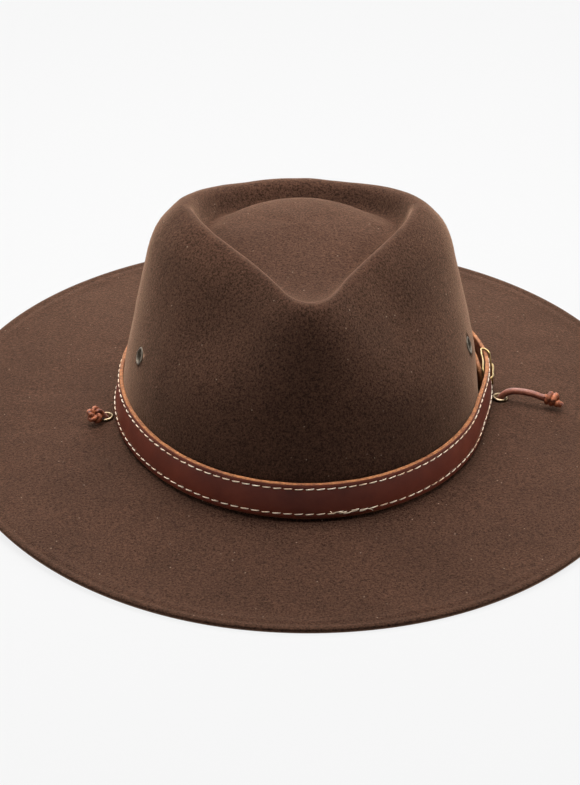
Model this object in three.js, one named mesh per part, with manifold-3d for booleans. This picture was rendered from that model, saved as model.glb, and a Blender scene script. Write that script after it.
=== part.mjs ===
// Wide-brimmed felt hunting hat with a stitched leather band, a brass buckle, eyelets and a chin lace.
// Millimetres, +Z up. The front of the hat faces -Y and +X is the wearer's left.
// z = 0 is the surface the brim rests on, and the origin is the middle of the brim there.

import * as THREE from "three";
import Module from "manifold-3d";
import { mergeVertices } from "three/addons/utils/BufferGeometryUtils.js";

// Felt
const FELT = 2.3;
const AROUND = 64;
const FLAT_HALF_ANGLE = 12;
const PINCH_FROM = 38;
const PINCH_TO = 85;
const DOME_CENTRE = [0.9, 13, 100.9];

// Band
const BAND_HALF_WIDTH = 90.5;
const BAND_HALF_LENGTH = 106.5;
const BAND_THICK = 2.2;
const BAND_HEIGHT = 18;
const BAND_LEAN = 2.3;
const BAND_FOOT = 10.2;
const BAND_INNER_END = 84;
const BAND_TONGUE_END = 482;

// Buckle
const WIRE = 1.3;
const FRAME_FRONT = 82.6;
const FRAME_BACK = 92.4;

// Eyelets and lace
const BRIM_EYELET = { hole: 2.5, barrel: 2.9, flange: 3.9 };
const CROWN_EYELET = { hole: 3.0, barrel: 3.5, flange: 4.6 };
const LEFT_EYELET = [97.2, -3.3];
const RIGHT_EYELET = [-96.0, -6.8];
const LACE = 3.0;

const RAD = Math.PI / 180;
const smooth = (a, b, x) => {
  const u = Math.min(1, Math.max(0, (x - a) / (b - a)));
  return u * u * (3 - 2 * u);
};

// Sections of the felt's upper face from the brim's edge to the dome.
// wide: half width, front and back: reach along Y, at: Y of the widest place, pinch: front squeeze,
// mid: X of the middle, zf zs zb: height at the front, the sides and the back.
const COLUMNS = ["name", "wide", "front", "back", "at", "pinch", "mid", "zf", "zs", "zb"];
const SECTIONS = [
  ["edge round", 169.7, -185.7, 185.7, 0, 0, 0, 1.9, 5.5, 1.9],
  ["edge top", 169.1, -185.1, 185.1, 0, 0, 0, 2.3, 5.9, 2.3],
  ["flat end", 160, -176, 176, 0, 0, 0, 2.3, 5.8, 2.3],
  ["brim outer", 142, -158, 158, 0, 0, 0, 3.3, 5.9, 3.3],
  ["brim middle", 122, -138, 138, 0, 0, 0, 5.0, 6.6, 5.0],
  ["brim inner", 104, -120, 120, 0, 0, 0, 7.0, 7.7, 7.0],
  ["brim foot", 91.5, -107.5, 107.5, 0, 0, 0, 8.8, 8.9, 8.8],
  ["fillet", 88.2, -104.2, 104.2, 0, 0, 0, 9.6, 9.6, 9.6],
  ["wall foot", 87.2, -103.2, 103.2, 0, 0, 0, 11.6, 11.6, 11.6],
  ["band top", 84.2, -99.4, 100.3, 0, 0, 0.2, 29, 29.2, 29],
  ["wall low", 82.4, -94.8, 97.3, 0, 0.01, 0.4, 45, 45.4, 44],
  ["wall middle", 80, -90.6, 94.2, 1, 0.08, 0.7, 58, 59.4, 56],
  ["dent low", 77.7, -87.3, 91.1, 2, 0.2, 0.9, 68.5, 71.5, 66],
  ["dent", 75.4, -84.4, 87.8, 3.7, 0.31, 0.9, 77, 81.6, 74.1],
  ["dent high", 72.8, -81.3, 84, 6, 0.38, 0.9, 85, 91.4, 81.4],
  ["shoulder low", 69.2, -78, 79.6, 8.2, 0.43, 0.9, 92.5, 100.2, 88.2],
  ["shoulder", 64.4, -75.2, 74.3, 10.1, 0.48, 0.9, 98.3, 106, 93.6],
  ["shoulder high", 60, -72.8, 69.8, 11.2, 0.5, 0.9, 101.4, 109.8, 97.3],
  ["crest", 56, -70.6, 65.2, 11.8, 0.505, 0.9, 102, 111.4, 98.7],
  ["crest inner", 53.2, -67.8, 61.6, 12.3, 0.505, 0.9, 100.4, 110.8, 97.4],
  ["trough side", 51.2, -64.1, 58.5, 12.6, 0.495, 0.9, 97.2, 107.2, 93.8],
  ["trough low", 49.2, -59, 56, 12.8, 0.48, 0.9, 94.6, 101.6, 91.2],
  ["trough", 46.2, -52.3, 53.6, 13.2, 0.45, 0.9, 93.2, 97.6, 90.7],
  ["dome foot", 42.2, -43.8, 50.6, 13.8, 0.38, 0.9, 93.3, 96.9, 93.6],
  ["dome low", 35.4, -32.6, 46, 14.3, 0.26, 0.9, 94.5, 98.4, 98.4],
  ["dome", 25, -17.8, 39, 14.6, 0.14, 0.9, 96.6, 99.7, 100.7],
  ["dome high", 12.5, -1.2, 27.2, 15, 0.05, 0.9, 99, 100.3, 101.4],
].map((row) => Object.fromEntries(COLUMNS.map((key, i) => [key, row[i]])));
const BRIM_ROWS = 7;
const ONLY_OUTSIDE = ["brim outer", "brim inner", "dent high", "dome low"];

// One point of a section, at an angle measured from the front towards +X.
const onSection = (s, degrees) => {
  const t = degrees * RAD;
  const c = Math.cos(t);
  const folded = Math.acos(c) / RAD;
  const squeeze = 1 - s.pinch * (1 - smooth(PINCH_FROM, PINCH_TO, folded));
  const reach = c > 0 ? s.at - s.front : s.back - s.at;
  const pole = Math.min(folded, 180 - folded);
  const side = smooth(FLAT_HALF_ANGLE, 90, pole);
  const end = c > 0 ? s.zf : s.zb;
  const across = s.mid + s.wide * Math.sin(t) * squeeze;
  return new THREE.Vector3(across, s.at - c * reach, end + (s.zs - end) * side);
};

// The upper face's points and outward directions, by section and angle.
const upperFace = () => {
  const grid = SECTIONS.map((s) => {
    return Array.from({ length: AROUND }, (_, j) => onSection(s, (j * 360) / AROUND));
  });
  const centre = new THREE.Vector3(...DOME_CENTRE);
  const normals = grid.map((row, i) => row.map((p, j) => {
    const before = i > 0 ? grid[i - 1][j] : p;
    const after = i < grid.length - 1 ? grid[i + 1][j] : centre;
    const along = after.clone().sub(before);
    const round = row[(j + 1) % AROUND].clone().sub(row[(j + AROUND - 1) % AROUND]);
    return round.cross(along).normalize();
  }));
  return { grid, normals, centre };
};

// Triangles between rows of equal length, a fan at each end point.
const closedSurface = (rows, first, last) => {
  const position = [];
  const index = [];
  const n = rows[0].length;
  rows.flat().forEach((p) => position.push(p.x, p.y, p.z));
  for (let i = 0; i + 1 < rows.length; i++) {
    for (let j = 0; j < n; j++) {
      const a = i * n + j;
      const b = i * n + ((j + 1) % n);
      index.push(a, b, b + n, a, b + n, a + n);
    }
  }
  const base = rows.length * n;
  position.push(first.x, first.y, first.z, last.x, last.y, last.z);
  for (let j = 0; j < n; j++) {
    const k = (j + 1) % n;
    index.push(base, k, j);
    index.push(base + 1, base - n + j, base - n + k);
  }
  const g = new THREE.BufferGeometry();
  g.setAttribute("position", new THREE.Float32BufferAttribute(position, 3));
  g.setIndex(index);
  return g;
};

// Crown and brim in one, with an even wall. The rows run from the inner dome out to the edge and back.
const feltSolid = () => {
  const { grid, normals, centre } = upperFace();
  const down = new THREE.Vector3(0, 0, -FELT);
  const inner = grid.map((row, i) => row.map((p, j) => {
    if (i >= BRIM_ROWS) return p.clone().addScaledVector(normals[i][j], -FELT);
    return i === 0 ? p.clone().add(new THREE.Vector3(0, 0, 0.8 - FELT)) : p.clone().add(down);
  }));
  const kept = inner.filter((_, i) => !ONLY_OUTSIDE.includes(SECTIONS[i].name));
  const rows = [...kept.reverse(), ...grid];
  const g = closedSurface(rows, centre.clone().add(down), centre);
  return g;
};

// Solids for cutting and joining
const toManifold = (wasm, geometry) => {
  const g = geometry.clone();
  g.deleteAttribute("normal");
  g.deleteAttribute("uv");
  const m = mergeVertices(g, 1e-4);
  return new wasm.Manifold(new wasm.Mesh({
    numProp: 3,
    vertProperties: Float32Array.from(m.attributes.position.array),
    triVerts: Uint32Array.from(m.index.array),
  }));
};

const fromManifold = (solid) => {
  const mesh = solid.getMesh();
  const g = new THREE.BufferGeometry();
  g.setAttribute("position", new THREE.BufferAttribute(new Float32Array(mesh.vertProperties), 3));
  g.setIndex(new THREE.BufferAttribute(new Uint32Array(mesh.triVerts), 1));
  g.computeVertexNormals();
  return g;
};

// Turns +Z to a direction and moves to a place.
const placed = (geometry, at, axis) => {
  const q = new THREE.Quaternion().setFromUnitVectors(new THREE.Vector3(0, 0, 1), axis.clone().normalize());
  return geometry.applyMatrix4(new THREE.Matrix4().compose(at, q, new THREE.Vector3(1, 1, 1)));
};

// A point and the outward direction on the felt between two sections.
const onFelt = (row, degrees) => {
  const i = Math.floor(row);
  const at = (d) => {
    return onSection(SECTIONS[i], d).lerp(onSection(SECTIONS[i + 1], d), row - i);
  };
  const round = at(degrees + 1).sub(at(degrees - 1));
  const along = onSection(SECTIONS[i + 1], degrees).sub(onSection(SECTIONS[i], degrees));
  return { at: at(degrees), axis: round.cross(along).normalize() };
};

// A rolled metal eyelet clamped through the felt, its face towards +Z.
const eyelet = ({ hole, barrel, flange }) => {
  const profile = [
    [hole, 1.0], [hole + 0.5, 1.35], [flange - 0.6, 1.2], [flange, 0.75], [flange - 0.3, 0.4], [barrel, 0.4],
    [barrel, -2.8], [flange - 0.5, -2.8], [flange - 0.5, -3.3], [hole, -3.3], [hole, 1.0],
  ].map(([r, z]) => new THREE.Vector2(r, z));
  const g = new THREE.LatheGeometry(profile.reverse(), 14);
  return g.rotateX(Math.PI / 2);
};

// The band's middle line at an angle and a height share, set out by a number of millimetres.
const bandLine = (degrees, out, z) => {
  const t = degrees * RAD;
  const n = new THREE.Vector3(Math.sin(t) / BAND_HALF_WIDTH, -Math.cos(t) / BAND_HALF_LENGTH, 0).normalize();
  const lean = (BAND_LEAN * (z - BAND_FOOT)) / BAND_HEIGHT;
  const p = new THREE.Vector3(BAND_HALF_WIDTH * Math.sin(t), -BAND_HALF_LENGTH * Math.cos(t), z);
  return p.addScaledVector(n, out - lean);
};

// How far the strap stands out from its plain oval: pressed in under the tongue, out over the heel bar.
const bandOut = (degrees) => {
  if (degrees > 300) return 3.25 * smooth(432, 452, degrees);
  return -0.7 * (1 - smooth(126, 150, degrees));
};
const bandLift = (degrees) => {
  if (degrees > 300) return 1.1 * smooth(418, 440, degrees);
  return 1.1 * (1 - smooth(130, 165, degrees));
};

// The leather strap, once round the crown from its buckle end to the tongue that lies over it.
const strapSolid = () => {
  const rows = [];
  const steps = 58;
  const half = BAND_HEIGHT / 2;
  for (let i = 0; i <= steps; i++) {
    const a = BAND_INNER_END + ((BAND_TONGUE_END - BAND_INNER_END) * i) / steps;
    const tip = Math.sqrt(1 - Math.pow(Math.max(0, (a - (BAND_TONGUE_END - 5.6)) / 5.6), 2) * 0.75);
    const mid = BAND_FOOT + half + bandLift(a);
    const out = bandOut(a);
    const corner = (o, z) => bandLine(a, out + o, mid + z * tip);
    rows.push([
      corner(0, half - 0.5), corner(0, -half + 0.5), corner(-0.4, -half), corner(0.4 - BAND_THICK, -half),
      corner(-BAND_THICK, -half + 0.5), corner(-BAND_THICK, half - 0.5), corner(0.4 - BAND_THICK, half),
      corner(-0.4, half),
    ]);
  }
  const middle = (row) => row.reduce((s, p) => s.add(p), new THREE.Vector3()).multiplyScalar(1 / row.length);
  return closedSurface(rows, middle(rows[0]), middle(rows[rows.length - 1]));
};

// A round bar along hand-placed points.
const bar = (points, diameter, steps, sides, closed = false) => {
  const path = new THREE.CatmullRomCurve3(points, closed, "centripetal");
  const ring = new THREE.Shape(Array.from({ length: sides }, (_, k) => {
    const t = (k * 2 * Math.PI) / sides;
    return new THREE.Vector2((Math.cos(t) * diameter) / 2, (Math.sin(t) * diameter) / 2);
  }));
  return new THREE.ExtrudeGeometry(ring, { steps, bevelEnabled: false, extrudePath: path });
};

// The brass frame: the front bar outside the tongue, the heel bar between tongue and strap.
const FRAME_LOW = BAND_FOOT + 1.1 - 0.3 - WIRE / 2;
const FRAME_HIGH = BAND_FOOT + 1.1 + BAND_HEIGHT + 0.3 + WIRE / 2;
const frontOut = () => bandOut(360 + FRAME_FRONT) + 0.3 + WIRE / 2;
const heelOut = () => bandOut(360 + FRAME_BACK) - BAND_THICK - 0.24 - WIRE / 2;
const frameSolid = () => {
  const at = (degrees, out, z) => bandLine(degrees, out, z);
  const f = frontOut();
  const h = heelOut();
  const mid = (FRAME_FRONT + FRAME_BACK) / 2;
  const points = [];
  for (const [z, inner] of [[FRAME_LOW, 1], [FRAME_HIGH, -1]]) {
    const row = [
      at(FRAME_FRONT, f, z + inner * 2), at(FRAME_FRONT + 0.5, f, z + inner * 0.5),
      at(FRAME_FRONT + 1.6, f, z), at(mid, (f + h) / 2 + 0.4, z), at(FRAME_BACK - 1.6, h + 0.3, z),
      at(FRAME_BACK - 0.5, h, z + inner * 0.5), at(FRAME_BACK, h, z + inner * 2),
    ];
    points.push(...(inner === 1 ? row : row.reverse()));
  }
  return bar(points, WIRE, 36, 8, true);
};

// The prong, hinged on the heel bar and resting on the front bar.
const prongMiddle = BAND_FOOT + 1.1 + BAND_HEIGHT / 2;
const prongSolid = () => {
  const h = heelOut();
  const f = frontOut();
  const points = [
    bandLine(FRAME_BACK - 0.95, h + 0.1, prongMiddle), bandLine(FRAME_BACK - 1.8, h + 1.6, prongMiddle),
    bandLine(FRAME_BACK - 3.2, bandOut(360 + FRAME_BACK - 3.2) + 0.95, prongMiddle),
    bandLine(FRAME_BACK - 6, f + 1.35, prongMiddle), bandLine(FRAME_FRONT, f + WIRE + 0.3, prongMiddle),
    bandLine(FRAME_FRONT - 0.8, f + WIRE + 0.1, prongMiddle),
  ];
  return bar(points, WIRE, 12, 8);
};
const prongHole = () => {
  const at = bandLine(FRAME_BACK - 1.95, bandOut(360 + FRAME_BACK - 1.95) - BAND_THICK / 2, prongMiddle);
  const g = new THREE.CylinderGeometry(2.5, 2.5, 9, 12);
  g.rotateX(Math.PI / 2);
  return placed(g, at, new THREE.Vector3(1, 0, 0));
};

// The chin lace: up through both brim eyelets to its knots, and in one fold on the surface inside the crown.
const LACE_ROUTE = [
  [-99.4, -9.4, 12.9], [-97.4, -7.7, 12.9], [-96.3, -6.85, 10.8], [-96.0, -6.8, 8.2], [-95.7, -6.8, 4.9],
  [-94.5, -6.75, 2.6], [-91.4, -6.7, 1.7], [-85, -7, 1.6], [-78, -9, 1.6], [-66, -16, 1.6], [-52, -32, 1.6],
  [-36, -50, 1.6], [-14, -62, 1.6], [12, -62, 1.6], [36, -50, 1.6], [50, -30, 1.6], [46, -10, 1.6],
  [26, 0, 1.6], [0, 1, 1.6], [-26, 4, 1.6], [-46, 14, 1.6], [-52, 34, 1.6], [-38, 54, 1.6], [-14, 64, 1.6],
  [12, 64, 1.6], [38, 54, 1.6], [58, 34, 1.6], [72, 12, 1.6], [80, 2, 1.6], [86, -2, 1.6], [92.6, -3.1, 1.7],
  [95.7, -3.3, 2.6], [96.9, -3.3, 4.9], [97.2, -3.3, 8.2], [97.5, -3.4, 10.8], [98.7, -4.0, 13.2],
  [102.0, -5.4, 15.1], [107.5, -8.0, 15.2], [112.6, -10.3, 13.0], [115.0, -11.4, 11.3],
];
const KNOTS = { left: [119.3, -13.3, 10.9], right: [-101.6, -12.0, 12.6] };

// An overhand knot, drawn up tight: three lobes of lace pressed into one another.
const knot = (wasm, centre, turn) => {
  const along = (degrees) => {
    const t = degrees * RAD;
    const x = 1.02 * (Math.sin(t) + 2 * Math.sin(2 * t));
    const y = 1.02 * (Math.cos(t) - 2 * Math.cos(2 * t));
    return new THREE.Vector3(x, y, -1.62 * Math.sin(3 * t));
  };
  const lobe = (k) => {
    const points = Array.from({ length: 8 }, (_, i) => along(k * 120 - 62 + (i * 124) / 7));
    return toManifold(wasm, bar(points, 2.5, 6, 6));
  };
  const g = fromManifold(lobe(0).add(lobe(1)).add(lobe(2)));
  g.rotateX(turn[0]);
  g.rotateZ(turn[1]);
  return g.translate(...centre);
};

const finish = (color, roughness, metalness) => {
  return new THREE.MeshStandardMaterial({ color, roughness, metalness });
};

const build = async () => {
  const wasm = await Module();
  wasm.setup();
  const hat = new THREE.Group();
  hat.name = "hunting_hat";
  const add = (name, geometry, material) => {
    const mesh = new THREE.Mesh(geometry, material);
    mesh.name = name;
    hat.add(mesh);
  };

  const felt = finish(0x5c4136, 0.95, 0);
  const leather = finish(0x5f2d26, 0.5, 0);
  const rawLace = finish(0x7c4a3a, 0.65, 0);
  const brass = finish(0xc2a25a, 0.35, 1);
  const bronze = finish(0x91857a, 0.45, 1);

  const up = new THREE.Vector3(0, 0, 1);
  const crownSpots = { left: onFelt(10.5, 74.5), right: onFelt(10.5, 283.5) };
  let body = toManifold(wasm, feltSolid());
  for (const spot of Object.values(crownSpots)) {
    const drill = new THREE.CylinderGeometry(CROWN_EYELET.barrel + 0.3, CROWN_EYELET.barrel + 0.3, 14, 20);
    body = body.subtract(toManifold(wasm, placed(drill.rotateX(Math.PI / 2), spot.at, spot.axis)));
  }
  for (const [x, y] of [LEFT_EYELET, RIGHT_EYELET]) {
    const drill = new THREE.CylinderGeometry(BRIM_EYELET.barrel + 0.3, BRIM_EYELET.barrel + 0.3, 14, 20);
    const at = new THREE.Vector3(x, y, 8);
    body = body.subtract(toManifold(wasm, placed(drill.rotateX(Math.PI / 2), at, up)));
  }
  add("felt_body", fromManifold(body), felt);

  const strap = toManifold(wasm, strapSolid()).subtract(toManifold(wasm, prongHole()));
  add("hat_band", fromManifold(strap), leather);
  add("buckle_frame", frameSolid(), brass);
  add("buckle_prong", prongSolid(), brass);

  for (const [side, spot] of Object.entries(crownSpots)) {
    add(`crown_eyelet_${side}`, placed(eyelet(CROWN_EYELET), spot.at, spot.axis), bronze);
  }
  for (const [side, [x, y]] of Object.entries({ left: LEFT_EYELET, right: RIGHT_EYELET })) {
    const tilt = new THREE.Vector3(Math.sign(x) * 0.09, 0, 1);
    add(`brim_eyelet_${side}`, placed(eyelet(BRIM_EYELET), new THREE.Vector3(x, y, 8.35), tilt), brass);
  }
  const route = LACE_ROUTE.map((p) => new THREE.Vector3(...p));
  add("chin_lace", bar(route, LACE, 70, 8), rawLace);
  add("lace_knot_left", knot(wasm, KNOTS.left, [0.5, 0.3]), rawLace);
  add("lace_knot_right", knot(wasm, KNOTS.right, [0.9, 1.2]), rawLace);
  return hat;
};

export default await build();
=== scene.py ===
import math
import random

import bmesh
import bpy
import numpy as np
from mathutils import Matrix, Vector, noise


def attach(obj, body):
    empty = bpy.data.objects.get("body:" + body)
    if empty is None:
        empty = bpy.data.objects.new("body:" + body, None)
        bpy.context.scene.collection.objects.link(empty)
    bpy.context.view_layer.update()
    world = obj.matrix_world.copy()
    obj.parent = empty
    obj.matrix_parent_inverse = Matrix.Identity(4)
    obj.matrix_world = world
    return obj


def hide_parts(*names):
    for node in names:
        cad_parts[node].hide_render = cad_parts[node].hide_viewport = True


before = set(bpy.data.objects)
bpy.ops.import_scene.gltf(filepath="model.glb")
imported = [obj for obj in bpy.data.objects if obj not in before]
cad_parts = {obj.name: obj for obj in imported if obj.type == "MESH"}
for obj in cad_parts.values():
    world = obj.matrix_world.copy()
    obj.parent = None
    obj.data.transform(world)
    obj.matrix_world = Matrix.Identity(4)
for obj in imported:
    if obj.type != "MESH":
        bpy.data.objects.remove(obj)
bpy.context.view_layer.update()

bpy.ops.object.select_all(action="DESELECT")
bpy.context.scene.view_settings.view_transform = "Standard"

# ---------------------------------------------------------------------------
# Camera. A long lens looks down on the front of the hat, a little from the wearer's right,
# and the brim runs out of the frame on both sides.
# ---------------------------------------------------------------------------
camera_turn = math.radians(-5.0)
camera_height = math.radians(29.67)
camera_roll = math.radians(0.29)
camera_distance = 1.550
looked_at = Vector((-0.00465, 0.0, 0.01608))
focal_length, picture_height = 3195, 785  # in pixels of the photograph
sensor_height = 36  # mm

towards_camera = Vector((
    math.sin(camera_turn) * math.cos(camera_height),
    -math.cos(camera_turn) * math.cos(camera_height),
    math.sin(camera_height),
))
level_right = Vector((math.cos(camera_turn), math.sin(camera_turn), 0))
level_up = towards_camera.cross(level_right)
camera_right = level_right * math.cos(camera_roll) + level_up * math.sin(camera_roll)
camera_up = level_up * math.cos(camera_roll) - level_right * math.sin(camera_roll)

bpy.ops.object.camera_add(location=(0, 0, 0))
camera = bpy.context.object
camera.name = "camera"
camera.data.lens = focal_length * sensor_height / picture_height
camera.data.clip_end = 20
turned = Matrix((camera_right, camera_up, towards_camera)).transposed().to_4x4()
camera.matrix_world = Matrix.Translation(looked_at + towards_camera * camera_distance) @ turned
bpy.context.scene.camera = camera

# ---------------------------------------------------------------------------
# Chin lace. A round leather lace 3.3 mm thick. It comes up through the brass eyelet at each
# side of the brim, and its hidden length lies in one fold on the surface inside the crown.
# ---------------------------------------------------------------------------
MM = 0.001
lace_thick = 3.3 * MM
# in mm, from the knot on the wearer's right to the one on the left
lace_route = [
    (-99.2, -7.8, 12.4), (-97.0, -6.1, 11.5), (-94.9, -4.4, 9.3), (-93.6, -3.4, 6.3),
    (-91.4, -2.8, 3.5), (-87.3, -3.0, 2.0), (-82.0, -4.6, 1.8), (-75, -8, 1.8),
    (-64, -16, 1.8), (-51, -32, 1.8), (-36, -50, 1.8), (-14, -62, 1.8), (12, -62, 1.8),
    (36, -50, 1.8), (51.4, -30, 1.8), (46, -10, 1.8), (26, 0, 1.8), (0, 1, 1.8), (-26, 4, 1.8),
    (-46, 14, 1.8), (-53.4, 34, 1.8), (-38, 54, 1.8), (-14, 64, 1.8), (12, 64, 1.8), (38, 54, 1.8),
    (58, 34, 1.8), (71, 13, 1.8), (79, 3.5, 1.8), (86, 0.4, 1.8), (91.4, -0.1, 2.3),
    (95.4, 0.0, 4.1), (97.8, 0.1, 7.0), (99.8, -0.2, 10.2), (103.2, -1.4, 12.7),
    (108.6, -3.3, 13.4), (113.6, -5.1, 13.0), (118.2, -6.7, 11.8), (120.6, -7.5, 11.3),
]


def new_material(name, roughness, metallic=0.0):
    """A finish with its Principled shader, and a helper that adds and links its nodes."""
    material = bpy.data.materials.new(name)
    material.use_nodes = True
    tree = material.node_tree
    shader = tree.nodes["Principled BSDF"]
    shader.inputs["Roughness"].default_value = roughness
    shader.inputs["Metallic"].default_value = metallic

    def node(kind, values=(), **links):
        made = tree.nodes.new("ShaderNode" + kind)
        for key, value in dict(values).items():
            if key in made.inputs:
                made.inputs[key].default_value = value
            else:
                setattr(made, key, value)
        for key, source in links.items():
            tree.links.new(source, made.inputs[key.replace("_", " ")])
        return made

    return material, shader, node, tree.links.new


def two_tones(node, factor, dark, light, low=0.3, high=0.7):
    """A ramp from a dark to a light colour over a factor."""
    ramp = node("ValToRGB", Fac=factor)
    ramp.color_ramp.elements[0].position = low
    ramp.color_ramp.elements[0].color = (*dark, 1)
    ramp.color_ramp.elements[1].position = high
    ramp.color_ramp.elements[1].color = (*light, 1)
    return ramp.outputs["Color"]


def round_bar(name, points, thick, closed=False, order=4):
    """A bent bar or lace through its points, as a curve object with a round bevel."""
    bpy.ops.curve.primitive_bezier_curve_add(location=(0, 0, 0))
    bar = bpy.context.object
    bar.name = name
    bar.data.dimensions = "3D"
    bar.data.splines.clear()
    spline = bar.data.splines.new("BEZIER")
    spline.bezier_points.add(len(points) - 1)
    for knot, place in zip(spline.bezier_points, points):
        knot.co = Vector(place)
        knot.handle_left_type = knot.handle_right_type = "AUTO"
    spline.use_cyclic_u = closed
    bar.data.resolution_u = bar.data.render_resolution_u = 8
    bar.data.bevel_depth = thick / 2
    bar.data.bevel_resolution = order
    bar.data.use_fill_caps = True
    return bar


lace_path = [Vector(p) * MM for p in lace_route]
chin_lace = round_bar("lace_strand", lace_path, lace_thick)

lace_leather, shader, node, link = new_material("lace_leather", 0.5)
place = node("TexCoord").outputs["Object"]
patches = node("TexNoise", {"Scale": 420, "Detail": 5, "Roughness": 0.6}, Vector=place)
grain = node("TexNoise", {"Scale": 3200, "Detail": 3}, Vector=place)
tint = two_tones(node, patches.outputs["Fac"], (0.135, 0.033, 0.016), (0.30, 0.092, 0.048))
link(tint, shader.inputs["Base Color"])
relief = node("Bump", {"Strength": 0.55, "Distance": 0.00025}, Height=grain.outputs["Fac"])
link(relief.outputs["Normal"], shader.inputs["Normal"])
shader.inputs["Sheen Weight"].default_value = 0.15
chin_lace.data.materials.append(lace_leather)

# ---------------------------------------------------------------------------
# Lace knots. Each end of the lace is tied in a knot, drawn up hard. The one on the wearer's
# right shows its wraps end on, like petals, and the one on the left its side and a cut end.
# ---------------------------------------------------------------------------
knot_left_middle = Vector((123.0, -8.4, 11.5)) * MM
knot_right_middle = Vector((-99.4, -7.9, 12.4)) * MM
petal_strand, barrel_strand = 2.139 * MM, 2.944 * MM


def petal_knot(name, middle, lean, turned):
    """The lace wound twice round with five crossings, its axis leaning towards the front."""
    steps, windings, crossings = 50, 2, 5
    reach, sway, rise = 2.2, 1.2, 1.25
    points = []
    for step in range(steps):
        t = 2 * math.pi * step / steps
        out = reach + sway * math.cos(crossings * t)
        points.append(Vector((
            out * math.cos(windings * t), out * math.sin(windings * t),
            rise * math.sin(crossings * t))))
    turn = Matrix.Rotation(turned, 3, "Z") @ Matrix.Rotation(lean, 3, "X")
    return round_bar(name, [middle + turn @ p * MM for p in points], petal_strand, closed=True)


def barrel_knot(name, middle, axis, tail):
    """Two wraps of lace side by side round its own line, and the cut end that comes out of them."""
    across = axis.cross(Vector((0, 0, 1))).normalized()
    upward = across.cross(axis).normalized()
    steps, first_angle, step_angle = 18, -60, 42
    wrap_radius, drawn_in, wrap_length = 2.15, 0.3, 5.2
    points = [middle - axis * before * MM for before in (4.2, 3.2)]
    for step in range(steps + 1):
        t = math.radians(first_angle + step_angle * step)
        reach = (wrap_radius - drawn_in * (2 * step / steps - 1) ** 4) * MM
        points.append(middle + axis * (step / steps - 0.5) * wrap_length * MM
                      + (across * math.cos(t) + upward * math.sin(t)) * reach)
    points += [middle + tail * 0.6, middle + tail]
    return round_bar(name, points, barrel_strand)


def select_only(piece):
    """Selects one piece and makes it the active one."""
    bpy.ops.object.select_all(action="DESELECT")
    piece.select_set(True)
    bpy.context.view_layer.objects.active = piece


def as_mesh(bar, finish):
    """Turns a bent bar into a mesh with one finish."""
    select_only(bar)
    bpy.ops.object.convert(target="MESH")
    bar.data.materials.clear()
    bar.data.materials.append(finish)


knot_left = barrel_knot(
    "lace_knot_tied_left", knot_left_middle, Vector((0.93, -0.33, -0.14)).normalized(),
    Vector((4.3, -2.4, -2.5)) * MM)
knot_right = petal_knot("lace_knot_tied_right", knot_right_middle, 0.75, 0.2)

knot_leather, shader, node, link = new_material("knot_leather", 0.55)
place = node("TexCoord").outputs["Object"]
patches = node("TexNoise", {"Scale": 420, "Detail": 5, "Roughness": 0.6}, Vector=place)
grain = node("TexNoise", {"Scale": 2200, "Detail": 4}, Vector=place)
tint = two_tones(
    node, patches.outputs["Fac"], (0.090, 0.019, 0.008), (0.44, 0.135, 0.055), 0.38, 0.66)
link(tint, shader.inputs["Base Color"])
relief = node("Bump", {"Strength": 0.8, "Distance": 0.0004}, Height=grain.outputs["Fac"])
link(relief.outputs["Normal"], shader.inputs["Normal"])
shader.inputs["Specular IOR Level"].default_value = 0.35
for knot in (knot_left, knot_right):
    as_mesh(knot, knot_leather)

for piece, replaced in ((chin_lace, "chin_lace"), (knot_left, "lace_knot_left"),
                        (knot_right, "lace_knot_right")):
    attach(piece, "root")
    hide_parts(replaced)

# ---------------------------------------------------------------------------
# Felt body. Crown and brim are one piece of fur felt, about 2.3 mm thick, steamed and blocked:
# a teardrop crown with two soft dents at the front, and a nearly flat brim with a pressed line.
# ---------------------------------------------------------------------------
felt_thick = 2.3 * MM
felt_around = 256
edge_thick = 1.5
pinch_from, pinch_to, flat_half_angle = 31.6, 104, 15.8  # degrees round from the front
crest_half_width = 56
dome_middle = Vector((0.9, 13, 100.9))
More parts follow.
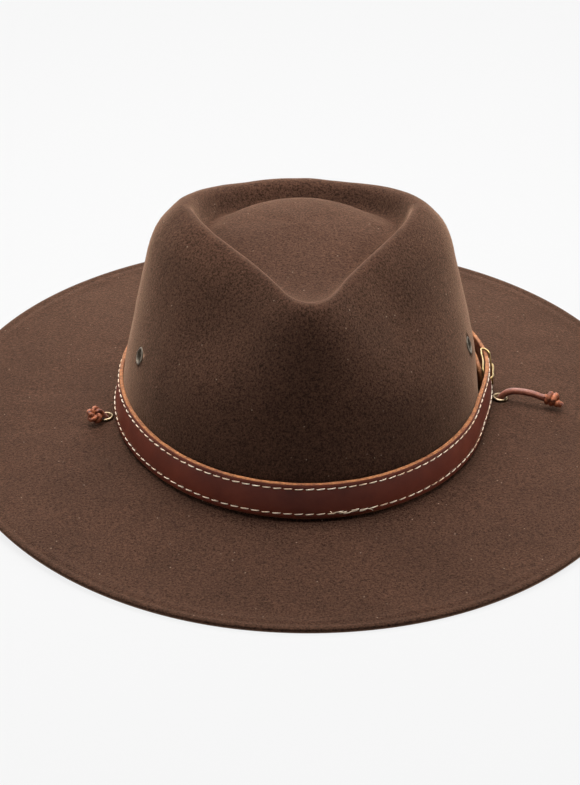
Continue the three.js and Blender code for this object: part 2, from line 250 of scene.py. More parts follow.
# Each row is one closed line of the block in mm, from the brim's edge to the dome: half width,
# front, back, y of the widest place, pinch, x of the middle, z front, z side, z back, swing of
# the front to one side, and drop of the left side.
felt_table = np.array([
    (169.7, -185.7, 185.7, 0, 0, 0, 1.9, 5.5, 1.9, 0, 0),
    (169.1, -185.1, 185.1, 0, 0, 0, 2.3, 5.9, 2.3, 0, 0),
    (160, -176, 176, 0, 0, 0, 2.3, 5.8, 2.3, 0, 0),
    (142, -158, 158, 0, 0, 0, 3.3, 5.9, 3.3, 0, 0),
    (122, -138, 138, 0, 0, 0, 5, 6.6, 5, 0, 0),
    (104, -120, 120, 0, 0, 0, 6.6, 7.5, 6.6, 0, 0),
    (91.5, -107.5, 107.5, 0, 0, 0, 7.8, 8.2, 7.8, 0, 0),
    (88.2, -104.2, 104.2, 0, 0, 0, 8.7, 9.0, 8.7, 0, 0),
    (87.2, -103.2, 103.2, 0, 0, 0, 11.6, 11.6, 11.6, 0, 0),
    (85.1, -100.4, 100.7, 0, 0, 0.35, 28, 28.2, 28, 0, 0),
    (82.7, -94.8, 97.3, 0, 0.01, 0.9, 45, 45.4, 44, 0, 0),
    (80.3, -90.6, 94.1, 0.8, 0.08, 1.1, 58, 59.3, 56.1, -0.2, 0.1),
    (77.9, -87.3, 90.7, 1.4, 0.21, 1.2, 68.5, 71.3, 66.2, -0.5, 0.2),
    (75.9, -84.4, 86.8, 2.3, 0.32, 1.3, 76.9, 81.1, 74.7, -1.1, 0.6),
    (73.7, -81.5, 82.3, 3.7, 0.4, 1.6, 84.3, 90.5, 82.4, -1.9, 1),
    (70.5, -78.7, 77.2, 4.9, 0.46, 2, 91.1, 98.7, 89.5, -2.6, 1.4),
    (66.1, -76.1, 71.5, 6.2, 0.52, 2.1, 96.3, 104.2, 95.2, -3.1, 1.6),
    (61.9, -73.3, 67, 7.3, 0.54, 2.1, 99.9, 108, 98.9, -3.1, 1.6),
    (57.9, -69.9, 62.4, 7.9, 0.55, 2.1, 101.5, 109.8, 100.3, -3.1, 1.6),
    (54.7, -66.3, 58.8, 8.4, 0.55, 2.1, 100.7, 109, 99, -3.1, 1.6),
    (52.5, -62.3, 55.7, 8.7, 0.54, 2.1, 98.3, 105.4, 95.4, -3.1, 1.6),
    (50.5, -57.5, 53.2, 8.9, 0.52, 2.1, 95.6, 100.2, 92.8, -3.1, 1.6),
    (47.4, -51.5, 51.3, 10.1, 0.48, 1.9, 93.9, 96.6, 92, -2.5, 1.3),
    (43, -43.6, 49.2, 11.9, 0.4, 1.5, 93.5, 96.1, 94.4, -1.5, 0.8),
    (35.7, -32.6, 45.4, 13.5, 0.27, 1.1, 94.4, 98.1, 98.7, -0.6, 0.3),
    (25, -17.8, 39, 14.6, 0.14, 0.9, 96.6, 99.7, 100.7, 0, 0),
    (12.5, -1.2, 27.2, 15, 0.05, 0.9, 99, 100.3, 101.4, 0, 0),
])
# steps taken between each row of the table and the next, closest at the brim's edge and the crest
felt_steps = [2, 16, 6, 5, 5, 5, 3, 3, 6, 6, 6, 5, 5, 5, 5, 5, 4, 5, 5, 5, 5, 5, 5, 5, 5, 5, 5]
brim_rows = 7


def eased(low, high, x):
    """A smooth step from 0 at the low end to 1 at the high end."""
    u = np.clip((x - low) / (high - low), 0, 1)
    return u * u * (3 - 2 * u)


def felt_section(row, turn):
    """Points of one section of the block, at angles from the front towards +X, in mm."""
    wide, front, back, at, pinch, middle, z_front, z_side, z_back, swing, drop = row
    cos = np.cos(turn)
    folded = np.degrees(np.arccos(np.clip(cos, -1, 1)))
    squeeze = 1 - pinch * (1 - eased(pinch_from, pinch_to, folded))
    reach = np.where(cos > 0, at - front, back - at)
    side = eased(flat_half_angle, 90, np.minimum(folded, 180 - folded))
    end = np.where(cos > 0, z_front, z_back)
    x = middle + swing * np.maximum(cos, 0) + wide * np.sin(turn) * squeeze
    z = end + (z_side - end) * side - drop * x / crest_half_width
    return np.stack([x, at - cos * reach, z], axis=-1)


felt_turns = np.arange(felt_around) * 2 * np.pi / felt_around
blocks = np.array([felt_section(row, felt_turns) for row in felt_table])
across_dome = np.roll(blocks[-1], felt_around // 2, axis=0)
beyond_edge = 2 * blocks[0] - blocks[1]
dome_ring = np.repeat(np.array([dome_middle]), felt_around, axis=0)
blocks = np.concatenate([[beyond_edge], blocks, [dome_ring], [across_dome]])
gaps = np.sqrt(np.linalg.norm(np.diff(blocks, axis=0), axis=2).mean(axis=1))

felt_rows = []
felt_places = []
for k, steps in enumerate(felt_steps):
    a, b, c, d = blocks[k:k + 4]
    before, here, after = gaps[k:k + 3]
    leave = ((b - a) / before * here + (c - b) / here * before) / (before + here) * here
    arrive = ((c - b) / here * after + (d - c) / after * here) / (here + after) * here
    for step in range(steps):
        u = step / steps
        felt_rows.append(
            (2 * u**3 - 3 * u**2 + 1) * b + (u**3 - 2 * u**2 + u) * leave
            + (3 * u**2 - 2 * u**3) * c + (u**3 - u**2) * arrive
        )
        felt_places.append(k + u)
felt_rows = np.array(felt_rows)
felt_places = np.array(felt_places)

# Two shallow dents, where finger and thumb take the crown, one each side of the front.
dent_deep, dent_wide = 1.6, 12.5
for dent in np.array([(-41.0, -53.0, 81.0), (42.0, -53.0, 82.0)]):
    away = np.linalg.norm(felt_rows - dent, axis=2)
    inwards = -dent * (1, 1, 0) / np.hypot(dent[0], dent[1])
    felt_rows += dent_deep * np.exp(-0.5 * (away / dent_wide) ** 2)[:, :, None] * inwards

along = np.gradient(felt_rows, axis=0)
round_way = np.roll(felt_rows, -1, axis=1) - np.roll(felt_rows, 1, axis=1)
felt_normals = np.cross(round_way, along)
felt_normals /= np.linalg.norm(felt_normals, axis=2, keepdims=True)

# The pressed line runs 5 mm inside the brim's edge, with the felt slightly raised beside it.
# The felt also has low soft waves, which fade out towards the edge and where the band holds it.
line_in, line_deep, line_wide = 5.0, 0.38, 0.7
ridge_in, ridge_high, ridge_wide = 7.6, 0.12, 1.1
broad_wave, close_wave, edge_fade = 0.30, 0.14, 12
crown_from, held_height, held_reach, held_flat = 70, 19, 12, 0.85
edge_gap = felt_table[0, 0] - np.interp(felt_places, range(len(felt_table)), felt_table[:, 0])
pressed = (ridge_high * np.exp(-((edge_gap - ridge_in) / ridge_wide) ** 2)
           - line_deep * np.exp(-((edge_gap - line_in) / line_wide) ** 2))
felt_relief = np.repeat(pressed[:, None], felt_around, axis=1)
for i in range(len(felt_rows)):
    free = float(eased(0, edge_fade, edge_gap[i]))
    for j in range(felt_around):
        p = Vector(felt_rows[i, j])
        soft = (noise.noise(p * 0.055) * broad_wave
                + noise.noise(p * 0.14 + Vector((9, 3, 5))) * close_wave)
        held = held_flat * math.exp(-((p.z - held_height) / held_reach) ** 2)
        felt_relief[i, j] += soft * free * (1 - held if edge_gap[i] > crown_from else 1)

outer = felt_rows + felt_normals * felt_relief[:, :, None]
inner = felt_rows - felt_normals * felt_thick / MM
brim_part = felt_places < brim_rows
inner[brim_part] = felt_rows[brim_part] - np.array((0, 0, felt_thick / MM))
inner[0] = felt_rows[0] - np.array((0, 0, edge_thick))
inner = inner[::2]


def ringed_tube(name, sides, rings):
    """A drum cut into rings, with the ring and side number of each point. A point at an end's
    middle has side -1."""
    bpy.ops.mesh.primitive_cylinder_add(
        vertices=sides, radius=1, depth=1, location=(0, 0, 0.5), end_fill_type="TRIFAN")
    tube = bpy.context.object
    bpy.ops.object.transform_apply(location=True, rotation=True, scale=True)
    tube.name = tube.data.name = name
    bpy.ops.object.mode_set(mode="EDIT")
    bpy.ops.mesh.select_mode(type="EDGE")
    bpy.ops.mesh.select_all(action="DESELECT")
    cage = bmesh.from_edit_mesh(tube.data)
    for edge in cage.edges:
        low, high = sorted(v.co.z for v in edge.verts)
        edge.select_set(high - low > 0.5)
    bmesh.update_edit_mesh(tube.data)
    bpy.ops.mesh.subdivide(number_cuts=rings - 2)
    bpy.ops.object.mode_set(mode="OBJECT")
    points = np.empty(len(tube.data.vertices) * 3)
    tube.data.vertices.foreach_get("co", points)
    points = points.reshape(-1, 3)
    ring = np.rint(points[:, 2] * (rings - 1)).astype(int)
    share_round = np.arctan2(-points[:, 0], points[:, 1]) / (2 * np.pi)
    side = np.rint(share_round * sides).astype(int) % sides
    side[np.hypot(points[:, 0], points[:, 1]) < 0.5] = -1
    return tube, ring, side


def set_points(piece, points):
    """Moves every point of a piece to its place."""
    piece.data.vertices.foreach_set("co", np.asarray(points, float).ravel())
    piece.data.update()


def faces_outwards(piece):
    """Turns the faces of a closed piece to its outside."""
    select_only(piece)
    bpy.ops.object.mode_set(mode="EDIT")
    bpy.ops.mesh.select_all(action="SELECT")
    bpy.ops.mesh.normals_make_consistent(inside=False)
    bpy.ops.object.mode_set(mode="OBJECT")


felt_shell = np.concatenate([inner[::-1], outer])
felt_piece, ring, side = ringed_tube("felt_crown_and_brim", felt_around, len(felt_shell))
places = felt_shell[ring, side] * MM
middle_up = np.array(dome_middle) * MM
places[(side < 0) & (ring > 0)] = middle_up
places[(side < 0) & (ring == 0)] = middle_up - np.array((0, 0, felt_thick))
set_points(felt_piece, places)
faces_outwards(felt_piece)


vent_turned_back = 0.08


def crown_spot(place, degrees):
    """A point on the crown, by its row of the table and angle, and the vent's direction there."""
    i = int(place)
    turn = np.radians(np.array([degrees - 1, degrees, degrees + 1]))
    low, high = felt_section(felt_table[i], turn), felt_section(felt_table[i + 1], turn)
    line = low + (high - low) * (place - i)
    out = np.cross(line[2] - line[0], high[1] - low[1])
    turned_back = math.copysign(vent_turned_back, line[1][0])
    return Vector(line[1]) * MM, Matrix.Rotation(turned_back, 3, "Z") @ Vector(out).normalized()


eyelet_spots = {
    "crown_eyelet_left": crown_spot(10.5, 74.5),
    "crown_eyelet_right": crown_spot(10.4, 283.2),
    "brim_eyelet_left": (Vector((98.4, 0.1, 8.35)) * MM, Vector((0.09, 0, 1)).normalized()),
    "brim_eyelet_right": (Vector((-94.3, -3.9, 8.35)) * MM, Vector((-0.09, 0, 1)).normalized()),
}
vent_hole, lace_hole, punch_long = 3.8 * MM, 3.2 * MM, 14 * MM
for name, (at, out) in eyelet_spots.items():
    radius = vent_hole if name.startswith("crown") else lace_hole
    bpy.ops.mesh.primitive_cylinder_add(vertices=48, radius=radius, depth=punch_long, location=at)
    punch = bpy.context.object
    punch.rotation_euler = out.to_track_quat("Z", "Y").to_euler()
    punched = felt_piece.modifiers.new("punched", "BOOLEAN")
    punched.object = punch
    punched.operation = "DIFFERENCE"
    punched.solver = "EXACT"
    bpy.context.view_layer.objects.active = felt_piece
    bpy.ops.object.modifier_apply(modifier="punched")
    bpy.data.objects.remove(punch)

felt_piece.data.polygons.foreach_set("use_smooth", [True] * len(felt_piece.data.polygons))


def multiplied(node, link, first, second):
    """One colour times another: a Mix node's sockets 6 and 7, and its output 2."""
    both = node("Mix", {"data_type": "RGBA", "blend_type": "MULTIPLY"})
    both.inputs["Factor"].default_value = 1.0
    link(first, both.inputs[6])
    link(second, both.inputs[7])
    return both.outputs[2]


felt, shader, node, link = new_material("brown_felt", 0.95)
place = node("TexCoord").outputs["Object"]
nap = node("TexNoise", {"Scale": 1900, "Detail": 4, "Roughness": 0.7}, Vector=place)
mottle = node("TexNoise", {"Scale": 900, "Detail": 5, "Roughness": 0.65}, Vector=place)
wear = node("TexNoise", {"Scale": 28, "Detail": 3}, Vector=place)
fibre_stretch = node("Mapping", {"Scale": (1500, 600, 1500)}, Vector=place)
fibres = node("TexNoise", {"Scale": 1.0, "Detail": 3, "Distortion": 1.5},
              Vector=fibre_stretch.outputs["Vector"])
mixed = node("Math", {"operation": "ADD"})
link(nap.outputs["Fac"], mixed.inputs[0])
link(mottle.outputs["Fac"], mixed.inputs[1])
halved = node("Math", {"operation": "MULTIPLY"})
link(mixed.outputs["Value"], halved.inputs[0])
halved.inputs[1].default_value = 0.5
base = two_tones(
    node, halved.outputs["Value"], (0.010, 0.0047, 0.0030), (0.069, 0.0325, 0.0200), 0.415, 0.585)
worn = two_tones(node, wear.outputs["Fac"], (0.90, 0.90, 0.90), (1.08, 1.07, 1.06), 0.35, 0.65)
coloured = multiplied(node, link, base, worn)
flecks = node("TexVoronoi", {"Scale": 160, "Randomness": 1.0}, Vector=place)
lint = node("MapRange", {"From Min": 0.066, "From Max": 0.034, "To Max": 0.6},
            Value=flecks.outputs["Distance"])
linty = node("Mix", {"data_type": "RGBA"})
link(lint.outputs["Result"], linty.inputs["Factor"])
link(coloured, linty.inputs[6])
linty.inputs[7].default_value = (0.30, 0.22, 0.16, 1)
link(linty.outputs[2], shader.inputs["Base Color"])
rough_relief = node("Bump", {"Strength": 0.5, "Distance": 0.0004}, Height=mottle.outputs["Fac"])
fine_relief = node("Bump", {"Strength": 0.9, "Distance": 0.0002}, Height=fibres.outputs["Fac"])
link(rough_relief.outputs["Normal"], fine_relief.inputs["Normal"])
link(fine_relief.outputs["Normal"], shader.inputs["Normal"])
shader.inputs["Sheen Weight"].default_value = 0.86
shader.inputs["Sheen Roughness"].default_value = 0.4
shader.inputs["Sheen Tint"].default_value = (0.42, 0.255, 0.168, 1)
shader.inputs["Specular IOR Level"].default_value = 0.05
felt_piece.data.materials.append(felt)
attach(felt_piece, "root")
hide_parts("felt_body")

# ---------------------------------------------------------------------------
# Hat band. One strap of vegetable-tanned leather, 17 mm wide and 1.9 mm thick, goes once round
# the crown. Its face is stained red-brown, its cut edges are bare tan, and its tongue lies over
# the buckle end on the wearer's left.
# ---------------------------------------------------------------------------
band_half_width, band_half_length = 90.5, 106.5
band_thick, band_height, band_lean, band_foot = 1.9, 17.0, 2.2, 9.8
band_inner_end, band_tongue_end = 87.5, 482.0
strap_steps = 420
stitch_line = 2.35  # from the strap's edges to its stitches
right_snug, right_lean = 0.5, 0.7  # on the wearer's right the strap is closer and leans more
end_snug, tongue_out, buckle_lift = 0.1, 5.6, 1.1  # and at the buckle it stands out and higher


def on_right(degrees):
    """1 along the wearer's right side, and 0 at the front and back."""
    return eased(205, 250, degrees) * (1 - eased(290, 335, degrees))


def band_out(degrees):
    """How far the strap stands out: close to the felt on the right, out over the buckle's heel."""
    buckle_end, tongue = 1 - eased(126, 150, degrees), eased(430, 460, degrees)
    return -right_snug * on_right(degrees) - end_snug * buckle_end + tongue_out * tongue


def band_lift(degrees):
    """How much higher the strap lies: only its two ends, at the buckle."""
    buckle_end = buckle_lift * (1 - eased(130, 165, degrees))
    return np.where(degrees > 300, buckle_lift * eased(418, 440, degrees), buckle_end)


def band_point(degrees, out, z):
    """A point on the strap's plain oval, set out by a number of mm, at a height."""
    t = np.radians(degrees)
    n = np.stack([np.sin(t) / band_half_width, -np.cos(t) / band_half_length], axis=-1)
    n /= np.linalg.norm(n, axis=-1, keepdims=True)
    lean = (band_lean + right_lean * on_right(degrees)) * (z - band_foot) / band_height
    x = band_half_width * np.sin(t) + n[..., 0] * (out - lean)
    y = -band_half_length * np.cos(t) + n[..., 1] * (out - lean)
    return np.stack([x, y, z + 0 * x], axis=-1)


# The strap's outline across: height from its middle, depth behind its face. The first 14 points
# are the face, with a groove for each row of stitches.
half = band_height / 2
groove = half - stitch_line
strap_outline = np.array([
    (half - 0.35, 0.02), (groove + 0.9, 0.0), (groove + 0.45, 0.05), (groove, 0.26),
    (groove - 0.45, 0.05), (groove - 1.2, 0.0), (2.4, -0.06), (-2.4, -0.06),
    (1.2 - groove, 0.0), (0.45 - groove, 0.05), (-groove, 0.26), (-0.45 - groove, 0.05),
    (-0.9 - groove, 0.0), (0.35 - half, 0.02),
    (0.08 - half, 0.22), (-half, 0.5), (-half, band_thick - 0.45),
    (0.12 - half, band_thick - 0.1), (0.5 - half, band_thick), (-3.0, band_thick),
    (3.0, band_thick), (half - 0.5, band_thick), (half - 0.12, band_thick - 0.1),
    (half, band_thick - 0.45), (half, 0.5), (half - 0.08, 0.22),
])
last_face_side = 13
tip_length, tip_narrowing, edge_waver = 5.6, 0.75, 0.20
strap_piece, ring, side = ringed_tube("band_strap", len(strap_outline), strap_steps)
strap_turns = np.linspace(band_inner_end, band_tongue_end, strap_steps)
tip = np.maximum(0, (strap_turns - (band_tongue_end - tip_length)) / tip_length)
tip = np.sqrt(1 - tip**2 * tip_narrowing)
middle_height = band_foot + half + band_lift(strap_turns)
waver = np.array([[noise.noise(Vector((k * 0.9, j * 0.7, 4))) for j in range(len(strap_outline))]
                  for k in range(strap_steps)])
raw_edge = np.abs(strap_outline[:, 0]) > half - 0.3
heights = (middle_height[:, None] + strap_outline[None, :, 0] * tip[:, None]
           + edge_waver * waver * raw_edge[None, :])
depths = strap_outline[None, :, 1]
strap_grid = band_point(
    strap_turns[:, None] + 0 * heights, band_out(strap_turns)[:, None] - depths, heights)
places = strap_grid[ring, side] * MM
ends = {0: strap_grid[0].mean(axis=0) * MM, strap_steps - 1: strap_grid[-1].mean(axis=0) * MM}
for end, at in ends.items():
    places[(side < 0) & (ring == end)] = at
set_points(strap_piece, places)
faces_outwards(strap_piece)

# The strap's own map: metres along it and metres up from its lower edge.
face_line = band_point(strap_turns, band_out(strap_turns), middle_height)
strap_run = np.concatenate([[0], np.cumsum(np.linalg.norm(np.diff(face_line, axis=0), axis=1))])
strap_map = strap_piece.data.uv_layers.new(name="along_strap")
corner = np.empty(len(strap_piece.data.loops), int)
strap_piece.data.loops.foreach_get("vertex_index", corner)
along_v = strap_run[ring[corner]] * MM
up_v = (strap_outline[side[corner], 0] + half) * MM
strap_map.uv.foreach_set("vector", np.stack([along_v, up_v], axis=1).ravel())

stained, shader, node, link = new_material("stained_leather", 0.42)
place = node("TexCoord").outputs["Object"]
clouds = node("TexNoise", {"Scale": 60, "Detail": 5, "Roughness": 0.6}, Vector=place)
pores = node("TexVoronoi", {"Scale": 2600, "feature": "SMOOTH_F1"}, Vector=place)
creases = node("TexNoise", {"Scale": 900, "Detail": 6, "Roughness": 0.7}, Vector=place)
tint = two_tones(
    node, clouds.outputs["Fac"], (0.094, 0.0145, 0.0062), (0.172, 0.031, 0.0135), 0.3, 0.72)
link(tint, shader.inputs["Base Color"])
pore_relief = node("Bump", {"Strength": 0.25, "Distance": 0.0001}, Height=pores.outputs["Distance"])
crease_relief = node("Bump", {"Strength": 0.3, "Distance": 0.00025}, Height=creases.outputs["Fac"])
link(pore_relief.outputs["Normal"], crease_relief.inputs["Normal"])
link(crease_relief.outputs["Normal"], shader.inputs["Normal"])
gloss = node("MapRange", {"To Min": 0.34, "To Max": 0.52}, Value=creases.outputs["Fac"])
link(gloss.outputs["Result"], shader.inputs["Roughness"])
shader.inputs["Specular IOR Level"].default_value = 0.4
strap_piece.data.materials.append(stained)

tan_edge, shader, node, link = new_material("raw_leather_edge", 0.75)
place = node("TexCoord").outputs["Object"]
streaks = node("TexNoise", {"Scale": 700, "Detail": 5, "Roughness": 0.7}, Vector=place)
stains = node("TexNoise", {"Scale": 140, "Detail": 4}, Vector=place)
pale = two_tones(node, streaks.outputs["Fac"], (0.15, 0.044, 0.011), (0.45, 0.168, 0.050), 0.34, 0.66)
burnt = two_tones(node, stains.outputs["Fac"], (0.62, 0.5, 0.42), (1.0, 1.0, 1.0), 0.32, 0.5)
link(multiplied(node, link, pale, burnt), shader.inputs["Base Color"])
fuzz = node("Bump", {"Strength": 0.8, "Distance": 0.0003}, Height=streaks.outputs["Fac"])
link(fuzz.outputs["Normal"], shader.inputs["Normal"])
strap_piece.data.materials.append(tan_edge)

for face in strap_piece.data.polygons:
    sides_here = [side[v] for v in face.vertices]
    bare = any(s < 0 or s > last_face_side for s in sides_here)
    face.material_index = 1 if bare else 0
    face.use_smooth = True
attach(strap_piece, "root")
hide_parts("hat_band")

# ---------------------------------------------------------------------------
# Band stitches. Waxed cream thread, saddle-stitched in a groove inside both edges of the strap,
# with a few stitches gone over twice and two loose ends at the front, where the sewing starts.
# ---------------------------------------------------------------------------
stitch_pitch, stitch_long, stitch_thick = 5.05, 4.2, 0.62
stitch_slant, slant_spread = math.radians(5), 0.03
row_start, row_stop = 4.0, 9.0  # left free at the buckle end and at the tongue
loose_thick = 0.34
stitch_sides, stitch_rings = 8, 9
end_thin, flattened, bow, end_dip = 0.12, 0.75, 0.08, 0.5


def strap_frame(run, height):
    """Place, direction along, direction up and direction out on the strap's face."""
    degrees = float(np.interp(run, strap_run, strap_turns))
    z = band_foot + half + float(band_lift(np.array(degrees)))
    turns = np.array([degrees - 0.2, degrees, degrees + 0.2])
    line = band_point(turns, band_out(turns), np.full(3, z + height))
    along = Vector(line[2] - line[0]).normalized()
    up = Vector((0, 0, 1))
    out = along.cross(up).normalized()
    if out.dot(Vector(line[1] * (1, 1, 0))) < 0:
        out = -out
    return Vector(line[1]), along, up, out


first_stitch, ring, side = ringed_tube("stitch", stitch_sides, stitch_rings)
share = ring / (stitch_rings - 1)
angle = side * 2 * np.pi / stitch_sides
thin = np.sqrt(np.clip(1 - (2 * share - 1) ** 4, end_thin, 1)) * stitch_thick / 2
thin[side < 0] = 0
stitch_shape = np.stack([
    (share - 0.5) * stitch_long,
    np.cos(angle) * thin,
    np.sin(angle) * thin * flattened + bow - end_dip * np.abs(2 * share - 1) ** 5,
], axis=1)
set_points(first_stitch, stitch_shape)
faces_outwards(first_stitch)
stitch_faces = [tuple(p.vertices) for p in first_stitch.data.polygons]
stitch_shape = np.array([v.co for v in first_stitch.data.vertices])
bpy.data.objects.remove(first_stitch)

thread, shader, node, link = new_material("cream_thread", 0.7)
place = node("TexCoord").outputs["Object"]
plies = node("TexNoise", {"Scale": 2600, "Detail": 3}, Vector=place)
soiling = node("TexNoise", {"Scale": 90, "Detail": 3}, Vector=place)
cream = two_tones(node, soiling.outputs["Fac"], (0.78, 0.53, 0.34), (0.97, 0.83, 0.64), 0.35, 0.6)
link(cream, shader.inputs["Base Color"])
ply_relief = node("Bump", {"Strength": 0.7, "Distance": 0.0002}, Height=plies.outputs["Fac"])
link(ply_relief.outputs["Normal"], shader.inputs["Normal"])

dice = random.Random(7)


def stitch_row(name, height, extra=()):
    """All the stitches of one row, each a copy of the first, laid along the strap."""
    points, faces = [], []
    runs = [(run, 0.0) for run in np.arange(row_start, strap_run[-1] - row_stop, stitch_pitch)]
    for run, lift in runs + list(extra):
        at, along, up, out = strap_frame(run, height + lift)
        slant = stitch_slant + dice.uniform(-slant_spread, slant_spread)
        long_way = along * math.cos(slant) + up * math.sin(slant)
        up_way = up * math.cos(slant) - along * math.sin(slant)
        base = len(points)
        for x, y, z in stitch_shape:
            points.append((at + long_way * x + up_way * y + out * z) * MM)
        faces += [tuple(base + v for v in face) for face in stitch_faces]
    mesh = bpy.data.meshes.new(name)
    mesh.from_pydata(points, [], faces)
    mesh.polygons.foreach_set("use_smooth", [True] * len(mesh.polygons))
    row = bpy.data.objects.new(name, mesh)
    bpy.context.collection.objects.link(row)
    row.data.materials.append(thread)
    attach(row, "root")


# The stitches gone over twice: how far past the front, and how far above or below the row.
front_run = float(np.interp(360, strap_turns, strap_run))
tacked = [(front_run + shift, lift) for shift, lift in (
    (9.0, 0.45), (12.6, -0.5), (16.5, 0.5), (20.2, -0.4))]
stitch_row("band_stitches_upper", groove)
stitch_row("band_stitches_lower", -groove, tacked)

loose_ends = ((6.6, -1.9, 1.5), (22.6, 2.3, -1.3))
for number, (run, sideways, upwards) in enumerate(loose_ends):
    at, along, up, out = strap_frame(front_run + run, -groove)
    bend = at + along * sideways * 0.5 + up * upwards * 0.2 + out * 0.7
    tip = at + along * sideways + up * upwards + out * 0.4
    loose_end = round_bar(
        f"band_thread_end_{number}", [p * MM for p in (at, bend, tip)], loose_thick * MM, order=2)
    as_mesh(loose_end, thread)
    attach(loose_end, "root")

# ---------------------------------------------------------------------------
# Buckle. A plain bent-wire frame and its prong, both of slightly tarnished brass. The heel bar
# lies between the tongue and the strap's other end, and the front bar lies on the tongue.
# ---------------------------------------------------------------------------
wire_thick, wire_gap, heel_gap = 1.05, 0.3, 0.24
frame_outer, frame_heel = 95.0, 86.3  # the two bars, in degrees round the band
frame_low = band_foot + buckle_lift - wire_gap - wire_thick / 2
frame_high = band_foot + buckle_lift + band_height + wire_gap + wire_thick / 2
prong_above_middle = 3.0


def strap_out(degrees):
    """How far the tongue's face stands out there."""
    return float(band_out(np.array(360.0 + degrees)))


outer_out = strap_out(frame_outer) + wire_gap + wire_thick / 2
heel_out = strap_out(frame_heel) - band_thick - heel_gap - wire_thick / 2


def by_band(degrees, out, z):
    """A place beside the band, in metres."""
    return Vector(band_point(np.array(degrees), out, np.array(z))) * MM


# Each side of the frame, from the outer bar round its corners to the heel bar.
frame_points = []
for z, inwards in ((frame_low, 1), (frame_high, -1)):
    row = [
        by_band(frame_outer, outer_out, z + inwards * 2),
        by_band(frame_outer + 0.4, outer_out, z + inwards * 0.6),
        by_band(frame_outer + 1.6, outer_out - 0.9, z),
        by_band(frame_outer + 2.3, outer_out - 2.6, z),
        by_band(frame_outer + 1.0, heel_out + 2.0, z),
        by_band((frame_outer + frame_heel) / 2, heel_out + 1.0, z),
        by_band(frame_heel + 1.6, heel_out + 0.3, z),
        by_band(frame_heel + 0.5, heel_out, z + inwards * 0.5),
        by_band(frame_heel, heel_out, z + inwards * 2),
    ]
    frame_points += row if inwards == 1 else row[::-1]
# The prong comes up from the heel bar, and lies along the tongue and over the outer bar.
prong_height = band_foot + prong_above_middle + half
prong_points = [
    by_band(frame_heel + 0.95, heel_out + 0.1, prong_height),
    by_band(frame_heel + 1.7, heel_out + 1.6, prong_height),
    by_band(frame_heel + 3.0, strap_out(frame_heel + 3.0) + 0.95, prong_height),
    by_band(frame_heel + 5.5, strap_out(frame_heel + 5.5) + 1.3, prong_height),
    by_band(frame_outer, outer_out + wire_thick + 0.05, prong_height),
    by_band(frame_outer + 0.7, outer_out + wire_thick, prong_height),
]
buckle_frame = round_bar("buckle_wire_frame", frame_points, wire_thick * MM, closed=True)
buckle_prong = round_bar("buckle_wire_prong", prong_points, wire_thick * MM)

brass, shader, node, link = new_material("polished_brass", 0.25, 1.0)
place = node("TexCoord").outputs["Object"]
tarnish = node("TexNoise", {"Scale": 260, "Detail": 5, "Roughness": 0.6}, Vector=place)
tint = two_tones(node, tarnish.outputs["Fac"], (0.27, 0.185, 0.07), (0.56, 0.42, 0.20), 0.35, 0.65)
link(tint, shader.inputs["Base Color"])
dulling = node("MapRange", {"To Min": 0.2, "To Max": 0.42}, Value=tarnish.outputs["Fac"])
link(dulling.outputs["Result"], shader.inputs["Roughness"])
for piece, replaced in ((buckle_frame, "buckle_frame"), (buckle_prong, "buckle_prong")):
    as_mesh(piece, brass)
    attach(piece, "root")
    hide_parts(replaced)

# ---------------------------------------------------------------------------
# Eyelets. Four rolled metal eyelets clamped through the felt: one in each side of the crown for
# air, of dulled brass, and one in each side of the brim for the lace, of paler brass.
# ---------------------------------------------------------------------------
eyelet_around = 56
# hole, barrel and flange radius, and how far the rim stands proud of the felt
crown_eyelet_sizes = (3.2, 3.6, 4.3, 0.45)
brim_eyelet_sizes = (2.75, 3.0, 3.85, 0.8)


def rolled_eyelet(name, at, out, sizes):
    """A ring bent over on both faces of the felt, spun from its profile."""
    hole, barrel, flange, proud = sizes
    profile = [
        (hole, 0.2), (hole + 0.02, 0.75 * proud), (hole + 0.12, 1.1 * proud),
        (hole + 0.3, 1.32 * proud), ((hole + flange) / 2, 1.36 * proud), (flange - 0.35, 1.2 * proud),
        (flange - 0.1, 0.9 * proud), (flange, 0.6 * proud),
        (flange - 0.2, 0.42 * proud), (barrel + 0.1, 0.42 * proud), (barrel, 0.2), (barrel, -2.7),
        (flange - 0.5, -2.85), (flange - 0.4, -3.1), (flange - 0.6, -3.28), (hole + 0.1, -3.2),
        (hole, -2.9), (hole, -1.4),
    ]
    bpy.ops.mesh.primitive_torus_add(
        major_segments=eyelet_around, minor_segments=len(profile), major_radius=2, minor_radius=0.5,
        location=(0, 0, 0),
    )
    eyelet = bpy.context.object
    eyelet.name = eyelet.data.name = name
    turn = out.to_track_quat("Z", "Y").to_matrix()
    for v in eyelet.data.vertices:
        round_angle = math.atan2(v.co.y, v.co.x)
        across = math.atan2(v.co.z, math.hypot(v.co.x, v.co.y) - 2)
        spot = round((math.pi - across) / (2 * math.pi) * len(profile)) % len(profile)
        radius, height = profile[spot]
        flat = Vector((radius * math.cos(round_angle), radius * math.sin(round_angle), height))
        v.co = at + turn @ flat * MM
    faces_outwards(eyelet)
    eyelet.data.polygons.foreach_set("use_smooth", [True] * len(eyelet.data.polygons))
    return eyelet


def eyelet_brass(name, roughness, dark, light, pitted):
    """Brass with a patina and fine pits."""
    metal, shader, node, link = new_material(name, roughness, 1.0)
    place = node("TexCoord").outputs["Object"]
    patina = node("TexNoise", {"Scale": 520, "Detail": 5, "Roughness": 0.65}, Vector=place)
    link(two_tones(node, patina.outputs["Fac"], dark, light, 0.35, 0.65), shader.inputs["Base Color"])
    pitting = node("Bump", {"Strength": pitted, "Distance": 0.0001}, Height=patina.outputs["Fac"])
    link(pitting.outputs["Normal"], shader.inputs["Normal"])
    return metal


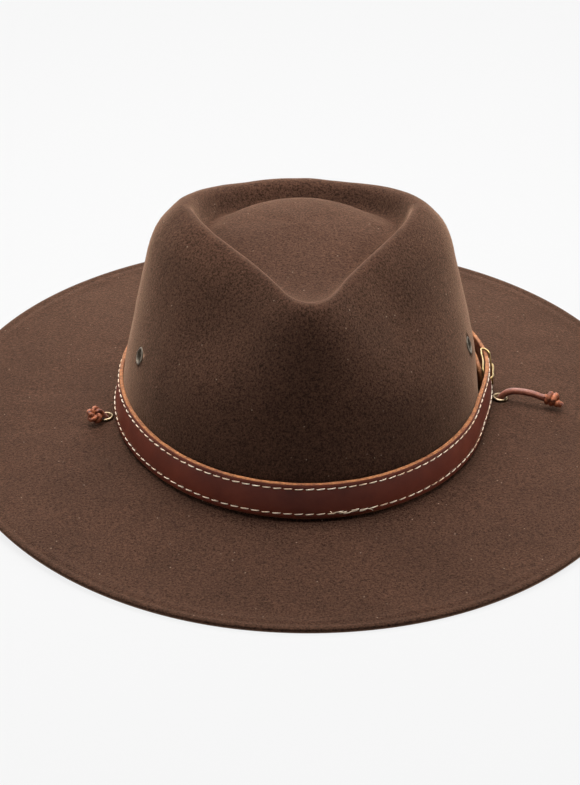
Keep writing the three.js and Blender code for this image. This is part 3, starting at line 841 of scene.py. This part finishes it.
dull_brass = eyelet_brass("dulled_brass", 0.55, (0.10, 0.084, 0.064), (0.30, 0.255, 0.20), 0.3)
pale_brass = eyelet_brass("pale_brass", 0.42, (0.28, 0.20, 0.11), (0.53, 0.40, 0.25), 0.2)
for name, (at, out) in eyelet_spots.items():
    in_crown = name.startswith("crown")
    eyelet = rolled_eyelet(
        "rolled_" + name, at, out, crown_eyelet_sizes if in_crown else brim_eyelet_sizes)
    eyelet.data.materials.append(dull_brass if in_crown else pale_brass)
    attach(eyelet, "root")
    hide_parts(name)

# ---------------------------------------------------------------------------
# Studio. A plain near-white surface that shines a little itself, two wide soft lights behind the
# hat, a small one close above the crown, and one at each side.
# ---------------------------------------------------------------------------
bpy.ops.mesh.primitive_plane_add(size=30, location=(0, 0, 0))
floor = bpy.context.object
floor.name = "studio_floor"
paper, shader, node, link = new_material("white_paper", 0.95)
shader.inputs["Base Color"].default_value = (0.05, 0.05, 0.05, 1)
shader.inputs["Specular IOR Level"].default_value = 0.0
shader.inputs["Emission Color"].default_value = (1, 1, 1, 1)
shader.inputs["Emission Strength"].default_value = 0.83
floor.data.materials.append(paper)


lit_place = Vector((0, 0, 0.05))


def soft_light(name, at, size, power):
    """A flat light turned towards the middle of the hat."""
    bpy.ops.object.light_add(type="AREA", location=at)
    light = bpy.context.object
    light.name = name
    light.data.shape = "RECTANGLE"
    light.data.size, light.data.size_y = size
    light.data.energy = power
    light.rotation_euler = (lit_place - Vector(at)).to_track_quat("-Z", "Y").to_euler()


soft_light("light_behind_high", (0.0, 1.0, 1.8), (1.8, 1.2), 26)
soft_light("light_behind_low", (0.0, 1.9, 0.8), (1.8, 0.8), 26)
soft_light("light_above", (0.0, 0.08, 0.62), (0.6, 0.6), 8.3)
soft_light("light_left", (-1.8, 0.0, 0.9), (1.0, 0.8), 10)
soft_light("light_right", (1.8, 0.0, 0.9), (1.0, 0.8), 16)

# The air adds hardly any light, and shows white behind the far edge of the floor.
world = bpy.data.worlds.new("studio_air")
bpy.context.scene.world = world
world.use_nodes = True
air = world.node_tree
faint = air.nodes["Background"]
faint.inputs["Color"].default_value = (1, 1, 1, 1)
faint.inputs["Strength"].default_value = 0.02
white = air.nodes.new("ShaderNodeBackground")
white.inputs["Color"].default_value = (1, 1, 1, 1)
white.inputs["Strength"].default_value = 0.88
seen = air.nodes.new("ShaderNodeLightPath")
either = air.nodes.new("ShaderNodeMixShader")
air.links.new(seen.outputs["Is Camera Ray"], either.inputs["Fac"])
air.links.new(faint.outputs["Background"], either.inputs[1])
air.links.new(white.outputs["Background"], either.inputs[2])
air.links.new(either.outputs["Shader"], air.nodes["World Output"].inputs["Surface"])
